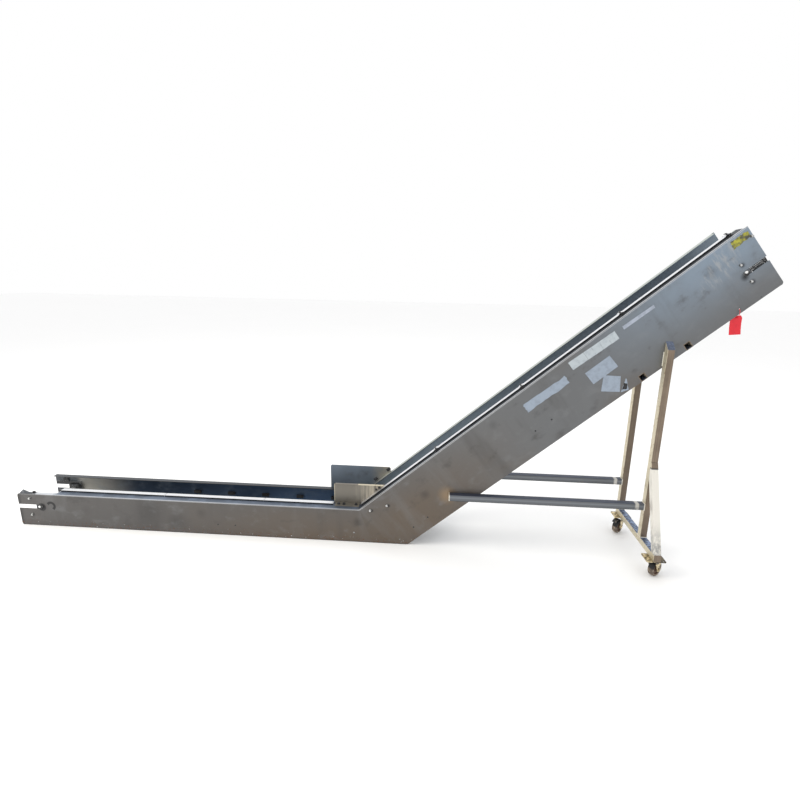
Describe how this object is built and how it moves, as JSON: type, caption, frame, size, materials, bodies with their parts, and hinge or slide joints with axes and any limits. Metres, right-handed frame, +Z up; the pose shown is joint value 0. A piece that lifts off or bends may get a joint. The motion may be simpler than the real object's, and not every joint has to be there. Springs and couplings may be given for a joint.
{
  "type": "portable inclined conveyor frame",
  "caption": "Stainless trough conveyor with a level infeed end, a steep discharge leg, hopper panels, a tube stand on swivel casters, and its belt and drive missing.",
  "frame": {"origin": "on the floor, under the middle of the whole part's bounding box", "axes": "+X towards the discharge end, +Y towards the far side, which has no outrigger, +Z up"},
  "size_m": [4.3348, 0.5752, 1.8619],
  "materials": {
    "sheet": "brushed stainless sheet, smudged and scratched",
    "rail": "bright stainless bar",
    "panel": "stainless sheet",
    "pan": "folded stainless sheet",
    "tube": "stainless square tube, welded",
    "bearing": "dark cast housing",
    "shafting": "bright turned bar",
    "bearer": "black plastic",
    "zinc": "yellowish zinc plate",
    "brake": "black lever",
    "hub": "dark moulded wheel centre",
    "tyre": "dark dusty tread"
  },
  "bodies": {
    "frame": {"side_sheet_near": "sheet", "tail_bearing_near": "bearing", "tail_guides_near": "shafting", "head_bearing_near": "bearing", "head_screw_near": "shafting", "bearer_blocks_near": "bearer", "leg_near": "tube", "brace_near": "tube", "side_sheet_far": "sheet", "tail_bearing_far": "bearing", "tail_guides_far": "shafting", "head_bearing_far": "bearing", "head_screw_far": "shafting", "bearer_blocks_far": "bearer", "leg_far": "tube", "brace_far": "tube", "edge_rail_level": "rail", "edge_rail_incline": "rail", "rail_clips": "rail", "hopper_panel_near": "panel", "hopper_panel_far": "panel", "cross_pan_level": "pan", "cross_pan_incline_low": "pan", "cross_pan_incline_high": "pan", "cross_tubes": "tube", "crossbar": "tube", "outrigger": "tube", "caster_plate_near": "zinc", "caster_plate_far": "zinc"},
    "tail_shaft": {"tail_shaft": "shafting"},
    "head_shaft": {"head_shaft": "shafting"},
    "caster_near_swivel": {"caster_fork_near": "zinc", "caster_axle_near": "zinc", "caster_brake_near": "brake"},
    "caster_near_wheel": {"caster_tyre_near": "tyre", "caster_hub_near": "hub"},
    "caster_far_swivel": {"caster_fork_far": "zinc", "caster_axle_far": "zinc", "caster_brake_far": "brake"},
    "caster_far_wheel": {"caster_tyre_far": "tyre", "caster_hub_far": "hub"}
  },
  "joints": [
    {"name": "tail_shaft_spin", "type": "hinge", "parent": "frame", "child": "tail_shaft", "pos_m": [-2.02337, 0.07555, 0.128], "axis": [0, 1, 0], "continuous": true},
    {"name": "head_shaft_spin", "type": "hinge", "parent": "frame", "child": "head_shaft", "pos_m": [1.97881, 0.07555, 1.63546], "axis": [0, 1, 0], "continuous": true},
    {"name": "caster_near_turn", "type": "hinge", "parent": "frame", "child": "caster_near_swivel", "pos_m": [1.65268, -0.24805, 0.1], "axis": [0, 0, 1], "continuous": true},
    {"name": "caster_near_roll", "type": "hinge", "parent": "caster_near_swivel", "child": "caster_near_wheel", "pos_m": [1.67398, -0.23314, 0.044], "axis": [-0.5736, 0.8192, 0], "continuous": true},
    {"name": "caster_far_turn", "type": "hinge", "parent": "frame", "child": "caster_far_swivel", "pos_m": [1.65268, 0.21915, 0.1], "axis": [0, 0, 1], "continuous": true},
    {"name": "caster_far_roll", "type": "hinge", "parent": "caster_far_swivel", "child": "caster_far_wheel", "pos_m": [1.63336, 0.20175, 0.044], "axis": [0.6691, -0.7431, 0], "continuous": true}
  ]
}
